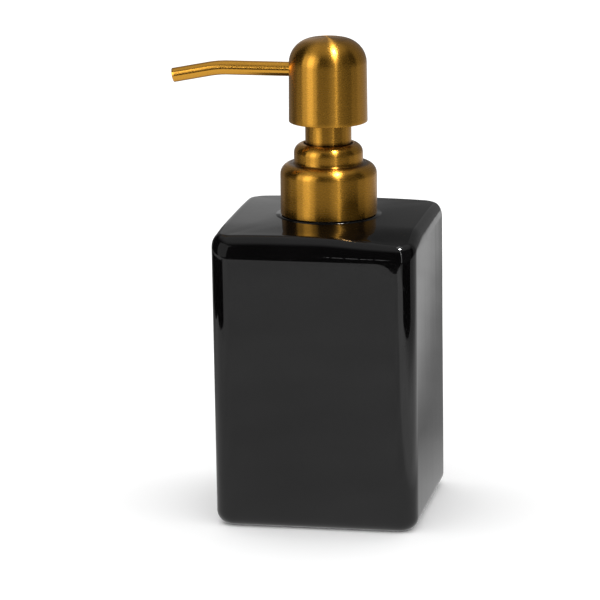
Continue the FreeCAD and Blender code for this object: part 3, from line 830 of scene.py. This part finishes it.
def glow_card(name, corners, paint):
    """A card that only polished surfaces see; paint returns the socket for its brightness."""
    card = mesh_object(name, corners, [(0, 1, 2, 3)])
    for kind in ("camera", "diffuse", "transmission", "volume_scatter", "shadow"):
        setattr(card, "visible_" + kind, False)
    material = bpy.data.materials.new(name)
    material.use_nodes = True
    tree = material.node_tree
    tree.nodes.clear()
    output = tree.nodes.new("ShaderNodeOutputMaterial")
    glow = tree.nodes.new("ShaderNodeEmission")
    tree.links.new(paint(tree), glow.inputs["Strength"])
    tree.links.new(glow.outputs["Emission"], output.inputs["Surface"])
    coat(card, material)
    return card


def axis_fade(tree, axis, low_end, high_end, low_glow, high_glow):
    """Brightness that runs smoothly from one value to another along one axis of the object."""
    place = tree.nodes.new("ShaderNodeTexCoord")
    split = tree.nodes.new("ShaderNodeSeparateXYZ")
    fade = tree.nodes.new("ShaderNodeMapRange")
    fade.interpolation_type = "SMOOTHSTEP"
    for key, number in (("From Min", low_end), ("From Max", high_end),
                        ("To Min", low_glow), ("To Max", high_glow)):
        fade.inputs[key].default_value = number
    tree.links.new(place.outputs["Object"], split.inputs["Vector"])
    tree.links.new(split.outputs[axis], fade.inputs["Value"])
    return fade.outputs["Result"]


def times(tree, first, second):
    node = tree.nodes.new("ShaderNodeMath")
    node.operation = "MULTIPLY"
    tree.links.new(first, node.inputs[0])
    tree.links.new(second, node.inputs[1])
    return node.outputs[0]


def build_cards():
    """What polished surfaces see round the object: the lit table top, which ends in front, a
    backdrop that darkens towards the right, a dark panel at the front on the right, and the dark
    foot of the softbox."""
    left, right, front, back, z = -0.9, 0.9, -0.50, 1.1, -0.0002

    def table(tree):
        # the object's own shade falls behind it on the right
        shade = tree.nodes.new("ShaderNodeMath")
        shade.operation = "MAXIMUM"
        tree.links.new(axis_fade(tree, "X", 0.05, 0.115, 0.42, 1.5), shade.inputs[0])
        tree.links.new(axis_fade(tree, "Y", -0.02, 0.12, 1.0, 0.42), shade.inputs[1])
        place = tree.nodes.new("ShaderNodeTexCoord")
        cloud = tree.nodes.new("ShaderNodeTexNoise")
        cloud.inputs["Scale"].default_value = 14
        tree.links.new(place.outputs["Object"], cloud.inputs["Vector"])
        uneven = tree.nodes.new("ShaderNodeMapRange")
        for key, number in (("From Min", 0.3), ("From Max", 0.7),
                            ("To Min", 0.92), ("To Max", 1.08)):
            uneven.inputs[key].default_value = number
        tree.links.new(cloud.outputs["Fac"], uneven.inputs["Value"])
        near = axis_fade(tree, "Y", -0.05, 0.5, 0.64, 0.44)
        shaded = times(tree, times(tree, near, shade.outputs[0]), uneven.outputs["Result"])
        # the table's far right is dimmer, less so behind the object
        dimmed = tree.nodes.new("ShaderNodeMath")
        dimmed.operation = "MAXIMUM"
        tree.links.new(axis_fade(tree, "X", 0.20, 0.32, 1.0, 0.4), dimmed.inputs[0])
        tree.links.new(axis_fade(tree, "Y", 0.02, 0.3, 0.4, 0.6), dimmed.inputs[1])
        return times(tree, shaded, dimmed.outputs[0])

    glow_card("table_card", [(left, front, z), (right, front, z), (right, back, z),
                             (left, back, z)], table)

    def backdrop(tree):
        return axis_fade(tree, "X", -0.095, -0.02, 0.41, 0.12)

    wall, wall_left, wall_right, wall_top = 0.30, -0.14, 0.005, 0.4
    glow_card("backdrop_card", [(wall_left, wall, z), (wall_right, wall, z),
                                (wall_right, wall, wall_top), (wall_left, wall, wall_top)],
              backdrop)

    def dark(tree):
        return axis_fade(tree, "Z", 0.03, 0.08, 0.010, 0.06)

    near = direction(30, 0) * 0.345
    far = direction(73, 0) * 0.335
    tall = Vector((0, 0, 0.5))
    glow_card("dark_panel", [near, far, far + tall, near + tall], dark)
    # the dark foot of the softbox, too low for the metal to see
    stops = [direction(azimuth, 0) * 0.33 for azimuth in (-53, -90, -128)]
    low_edge = Vector((0, 0, 0.034))
    for number, (near, far) in enumerate(zip(stops, stops[1:]), 1):
        glow_card("softbox_foot_%d" % number, [near, far, far + low_edge, near + low_edge], dark)


def add_area(name, place, target, size, power, colour=(1, 1, 1), in_gloss=True, in_diffuse=True):
    lamp = bpy.data.lights.new(name, "AREA")
    lamp.shape = "RECTANGLE"
    lamp.size, lamp.size_y = size
    lamp.energy = power
    lamp.color = colour
    holder = bpy.data.objects.new(name, lamp)
    bpy.context.scene.collection.objects.link(holder)
    holder.location = place
    holder.rotation_euler = (Vector(target) - Vector(place)).to_track_quat("-Z", "Y").to_euler()
    holder.visible_camera = False
    holder.visible_glossy = in_gloss
    holder.visible_diffuse = in_diffuse
    return holder


VIEW_AZIMUTH = math.radians(10.156)
VIEW_ELEVATION = math.radians(13.012)


def direction(azimuth, elevation):
    """A unit vector towards a place round the object; azimuth is counted from the camera's."""
    a = VIEW_AZIMUTH + math.radians(azimuth)
    e = math.radians(elevation)
    return Vector((math.sin(a) * math.cos(e), -math.cos(a) * math.cos(e), math.sin(e)))


def build_world():
    """White to the camera and to matt surfaces; polished ones see a room that is dark in front
    and pale behind and overhead, as round a table in a studio."""
    world = bpy.data.worlds.new("studio")
    bpy.context.scene.world = world
    world.use_nodes = True
    tree = world.node_tree
    tree.nodes.clear()
    link = tree.links.new
    output = tree.nodes.new("ShaderNodeOutputWorld")
    room = tree.nodes.new("ShaderNodeBackground")
    ambient = tree.nodes.new("ShaderNodeBackground")
    mix = tree.nodes.new("ShaderNodeMixShader")
    path = tree.nodes.new("ShaderNodeLightPath")
    coordinates = tree.nodes.new("ShaderNodeTexCoord")
    turn = tree.nodes.new("ShaderNodeMapping")
    turn.inputs["Rotation"].default_value = (0, 0, -VIEW_AZIMUTH)
    link(coordinates.outputs["Generated"], turn.inputs["Vector"])
    split = tree.nodes.new("ShaderNodeSeparateXYZ")
    link(turn.outputs["Vector"], split.inputs["Vector"])

    def rising(source, start, end, first, last):
        node = tree.nodes.new("ShaderNodeMapRange")
        node.interpolation_type = "SMOOTHSTEP"
        for key, number in (("From Min", start), ("From Max", end),
                            ("To Min", first), ("To Max", last)):
            node.inputs[key].default_value = number
        link(source, node.inputs["Value"])
        return node.outputs["Result"]

    # the backdrop reaches further round on the right than on the left
    round_back = tree.nodes.new("ShaderNodeVectorMath")
    round_back.operation = "DOT_PRODUCT"
    round_back.inputs[1].default_value = (0.306, 1.0, 0.0)
    link(turn.outputs["Vector"], round_back.inputs[0])
    brighter = tree.nodes.new("ShaderNodeMath")
    brighter.operation = "MAXIMUM"
    link(rising(round_back.outputs["Value"], 0.33, 0.46, 0.02, 0.19), brighter.inputs[0])
    link(rising(split.outputs["Z"], 0.66, 0.9, 0.02, 0.42), brighter.inputs[1])
    link(brighter.outputs[0], room.inputs["Color"])
    ambient.inputs["Color"].default_value = (1, 1, 1, 1)
    ambient.inputs["Strength"].default_value = 1.34
    link(path.outputs["Is Glossy Ray"], mix.inputs["Fac"])
    link(ambient.outputs["Background"], mix.inputs[1])
    link(room.outputs["Background"], mix.inputs[2])
    link(mix.outputs["Shader"], output.inputs["Surface"])
    return world


def light_only(holder, receivers):
    """The lamp lights only these pieces."""
    group = bpy.data.collections.new(holder.name + "_receivers")
    for piece in receivers:
        group.objects.link(piece)
    holder.light_linking.receiver_collection = group


def build_lights(glaze, metal, spout):
    """A broad softbox to the left of the camera, dimmer for the glaze and brightest for the metal
    towards its middle, small lamps for the rim and the spout, and a line of lamps that climbs on
    the right of the camera and passes overhead. Some lamps light only the pieces given."""
    middle = Vector((0, 0, 0.12))
    lamp_distance = 1.3
    everything = None
    for name, azimuth, elevation, size, power, receivers in (
            ("softbox_left", -57, 18, (1.2, 1.2), 4.8, metal + spout),
            ("softbox_core", -54, 18, (0.45, 1.1), 2.4, metal + spout),
            ("softbox_soft", -57, 18, (1.2, 1.2), 1.7, glaze),
            ("rim_glint", -18.6, 3, (0.03, 0.03), 0.006, everything),
            ("strip_right", 24, 15, (0.07, 1.0), 0.5, everything),
            ("strip_high", 26, 42, (0.06, 0.5), 0.35, everything),
            ("spout_line", -21, 18, (0.3, 0.05), 0.22, spout),
            ("hot_lamp", 44, 70, (0.18, 0.18), 14.0, glaze + metal),
            ("strip_over", 100, 80, (0.10, 0.4), 0.7, everything),
            ("strip_behind", 160, 67, (0.04, 0.3), 0.12, everything)):
        place = middle + direction(azimuth, elevation) * lamp_distance
        holder = add_area(name, place, middle, size, power, in_diffuse=False)
        if receivers:
            light_only(holder, receivers)


def build_camera():
    sensor = 36.0
    image = 600
    focal_pixels = 4289.8
    distance = 1.4366
    roll = math.radians(-0.445)
    offset_right = 29.4
    offset_up = 25.4
    target = Vector((0, 0, 0.0794))
    back = direction(0, math.degrees(VIEW_ELEVATION))
    right = Vector((math.cos(VIEW_AZIMUTH), math.sin(VIEW_AZIMUTH), 0))
    up = back.cross(right)
    rolled_right = right * math.cos(roll) + up * math.sin(roll)
    rolled_up = up * math.cos(roll) - right * math.sin(roll)
    place = target + back * distance
    per_pixel = distance / focal_pixels
    aim = target - rolled_right * offset_right * per_pixel - rolled_up * offset_up * per_pixel
    z = (place - aim).normalized()
    x = (rolled_up.cross(z)).normalized()
    y = z.cross(x)
    camera_data = bpy.data.cameras.new("camera")
    camera_data.sensor_width = sensor
    camera_data.lens = sensor * focal_pixels / image
    camera_data.clip_start = 0.05
    camera_data.clip_end = 20
    camera = bpy.data.objects.new("camera", camera_data)
    bpy.context.scene.collection.objects.link(camera)
    basis = Matrix((x, y, z)).transposed().to_4x4()
    camera.matrix_world = Matrix.Translation(place) @ basis
    bpy.context.scene.camera = camera
    return camera


# ---- putting it together --------------------------------------------------------------------

ROUND_GRAIN = (260, 260, 9000)
ROUND_BRUSHING = ("Z", 0.25, 0.27, 0.92, 0.76)
# the head's colour is darkened round the spout's root: painted shade
GOLD_HEAD = brushed_gold("brushed_gold_head", ROUND_GRAIN, *ROUND_BRUSHING,
                         lambda n: spout_root_painted_shade(n, spout_height(), spout_radius(), 4.0 * MM))
# the collar's colour is darkened at the foot of its step: painted shade
GOLD_COLLAR = brushed_gold("brushed_gold_collar", ROUND_GRAIN, *ROUND_BRUSHING,
                           lambda n: n.maths("MAXIMUM", crease_painted_shade(n, COLLAR_SHOULDER, 1.3 * MM),
                                             below(n, COLLAR_SHOULDER)))
# the sleeve's colour is darkened where it goes into the collar: painted shade
GOLD_SLEEVE = brushed_gold("brushed_gold_sleeve", ROUND_GRAIN, *ROUND_BRUSHING,
                           lambda n: crease_painted_shade(n, high("collar_shell").z, 1.4 * MM))
# the spout's gold gets a brighter tone than the same gold on the head: painted light
GOLD_LONG = brushed_gold("brushed_gold_long", (5200, 1500, 1500), "X", 0.25, 0.19, 0.8, 1.24)
WHITE = moulded_plastic("white_plastic", (0.80, 0.80, 0.78), (0.74, 0.74, 0.71), 0.38)
CLEAR = moulded_plastic("natural_plastic", (0.78, 0.80, 0.80), (0.70, 0.73, 0.73), 0.26, 0.35)
BLACK = moulded_plastic("black_plastic", (0.012, 0.012, 0.012), (0.020, 0.020, 0.020), 0.36)
BLACK_RUBBER = soft_rubber("black_rubber", (0.010, 0.010, 0.010), (0.022, 0.022, 0.022))
GREY_RUBBER = soft_rubber("grey_rubber", (0.20, 0.20, 0.20), (0.27, 0.27, 0.27))
STEEL = drawn_steel()

BOTTLE = build_bottle()
COLLAR = build_collar()
HEAD = build_head()
SLEEVE = build_sleeve()
SPOUT = build_spout()
coat(BOTTLE, black_glaze())
coat(COLLAR, GOLD_COLLAR)
coat(HEAD, GOLD_HEAD)
coat(SLEEVE, GOLD_SLEEVE)
coat(SPOUT, GOLD_LONG)
coat(build_spring(), STEEL)

SLOT_MATERIALS = {
    "black_plastic": BLACK, "white_plastic": WHITE, "clear_plastic": CLEAR,
    "black_rubber": BLACK_RUBBER, "grey_rubber": GREY_RUBBER, "plain_steel": STEEL,
}
for subpart in frame["record"]["subparts"]:
    finish = SLOT_MATERIALS.get(subpart["material_slot"])
    if finish:
        coat(NODES[subpart["node"]], finish)

build_floor()
build_cards()
build_world()
build_lights([BOTTLE], [COLLAR, HEAD, SLEEVE], [SPOUT])
build_camera()
bpy.context.scene.view_settings.view_transform = "Standard"
